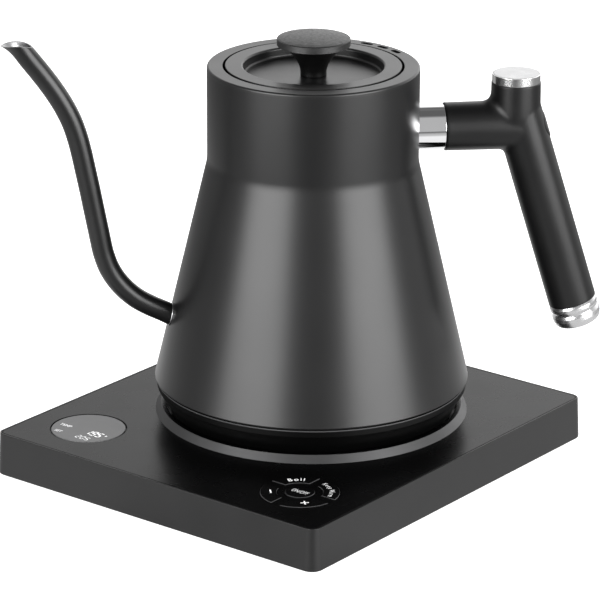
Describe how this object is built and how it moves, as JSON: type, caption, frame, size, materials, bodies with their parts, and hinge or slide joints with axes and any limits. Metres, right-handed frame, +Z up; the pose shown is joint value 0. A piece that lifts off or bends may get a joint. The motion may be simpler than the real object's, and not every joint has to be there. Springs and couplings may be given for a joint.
{
  "type": "gooseneck kettle",
  "caption": "Electric gooseneck pour-over kettle with a conical body, S-shaped spout, straight bar handle and lift-off lid, standing on a square-cornered power base with round display and keys.",
  "frame": {"origin": "on the kettle's turning axis, at the plane the base's feet stand on", "axes": "+Z up along the turning axis; the spout points along -X and the handle along +X; the power base stands turned 45 degrees below, its display and keys towards -Y, its back edge towards +X+Y"},
  "size_m": [0.2948, 0.2859, 0.2088],
  "materials": {
    "housing_black": "satin black coat",
    "panel_black": "smooth semi-gloss black top plate",
    "black_plastic": "moulded black",
    "steel": "bare stainless steel",
    "rubber_black": "soft black rubber",
    "ring_metal": "satin dark grey metal",
    "brass": "sprung brass contacts",
    "acetal": "natural acetal",
    "lens_grey": "smooth grey display lens",
    "display_module": "display glass in a frame",
    "key_black": "satin black keys",
    "circuit_board": "green lacquered board with its soldered parts",
    "component_black": "black moulded parts",
    "foot_gloss": "smooth black",
    "trim_steel": "thin turned steel line",
    "element_steel": "heat-tinted steel tube",
    "ceramic": "ceramic-cased cut-outs",
    "body_coat": "matt graphite coat on steel",
    "silicone": "grey silicone",
    "chrome": "polished chrome",
    "grip_black": "soft matt black",
    "disc_brushed": "circular-brushed steel"
  },
  "bodies": {
    "power_base": {"base_housing": "housing_black", "base_panel": "panel_black", "base_bottom": "black_plastic", "base_screws": "steel", "base_feet": "rubber_black", "foot_ring": "rubber_black", "seat_ring": "ring_metal", "base_connector": "black_plastic", "base_contacts": "brass", "display_window": "lens_grey", "display_module": "display_module", "button_frame": "black_plastic", "control_board": "circuit_board", "tact_switches": "component_black", "buzzer": "component_black", "power_board": "circuit_board", "cord_gland": "black_plastic"},
    "swivel": {"turn_collar": "acetal"},
    "kettle": {"kettle_foot": "foot_gloss", "foot_trim": "trim_steel", "foot_screws": "steel", "kettle_connector": "black_plastic", "kettle_contacts": "brass", "heater_plate": "steel", "heating_element": "element_steel", "thermal_cutoffs": "ceramic", "temperature_sensor": "steel", "body_shell": "body_coat", "rim_ring": "body_coat", "spout": "body_coat", "spout_ring": "body_coat", "spout_strainer": "steel", "handle_bracket": "steel", "handle_ferrule": "chrome", "handle_grip": "grip_black", "handle_bolt": "steel", "bolt_plug": "grip_black", "handle_cap": "chrome", "cap_disc": "disc_brushed", "grip_end_cap": "chrome"},
    "lid": {"lid_cover": "body_coat", "lid_inner": "black_plastic", "lid_seal": "silicone", "lid_knob": "body_coat", "knob_screw": "steel"},
    "on_off_key": {"on_off_button": "key_black"},
    "boil_key": {"boil_button": "key_black"},
    "keep_warm_key": {"keep_warm_button": "key_black"},
    "plus_key": {"plus_button": "key_black"},
    "minus_key": {"minus_button": "key_black"}
  },
  "joints": [
    {"name": "kettle_turn", "type": "hinge", "parent": "power_base", "child": "swivel", "pos_m": [0, 0, 0.0225], "axis": [0, 0, 1], "continuous": true},
    {"name": "kettle_lift", "type": "slide", "parent": "swivel", "child": "kettle", "axis": [0, 0, 1], "range_m": [0, 0.12]},
    {"name": "lid_lift", "type": "slide", "parent": "kettle", "child": "lid", "axis": [0, 0, 1], "range_m": [0, 0.1]},
    {"name": "on_off_press", "type": "slide", "parent": "power_base", "child": "on_off_key", "axis": [0, 0, -1], "range_m": [0, 0.0007], "stiffness_N_per_m": 400, "springref_m": -0.001},
    {"name": "boil_press", "type": "slide", "parent": "power_base", "child": "boil_key", "axis": [0, 0, -1], "range_m": [0, 0.0007], "stiffness_N_per_m": 400, "springref_m": -0.001},
    {"name": "keep_warm_press", "type": "slide", "parent": "power_base", "child": "keep_warm_key", "axis": [0, 0, -1], "range_m": [0, 0.0007], "stiffness_N_per_m": 400, "springref_m": -0.001},
    {"name": "plus_press", "type": "slide", "parent": "power_base", "child": "plus_key", "axis": [0, 0, -1], "range_m": [0, 0.0007], "stiffness_N_per_m": 400, "springref_m": -0.001},
    {"name": "minus_press", "type": "slide", "parent": "power_base", "child": "minus_key", "axis": [0, 0, -1], "range_m": [0, 0.0007], "stiffness_N_per_m": 400, "springref_m": -0.001}
  ]
}
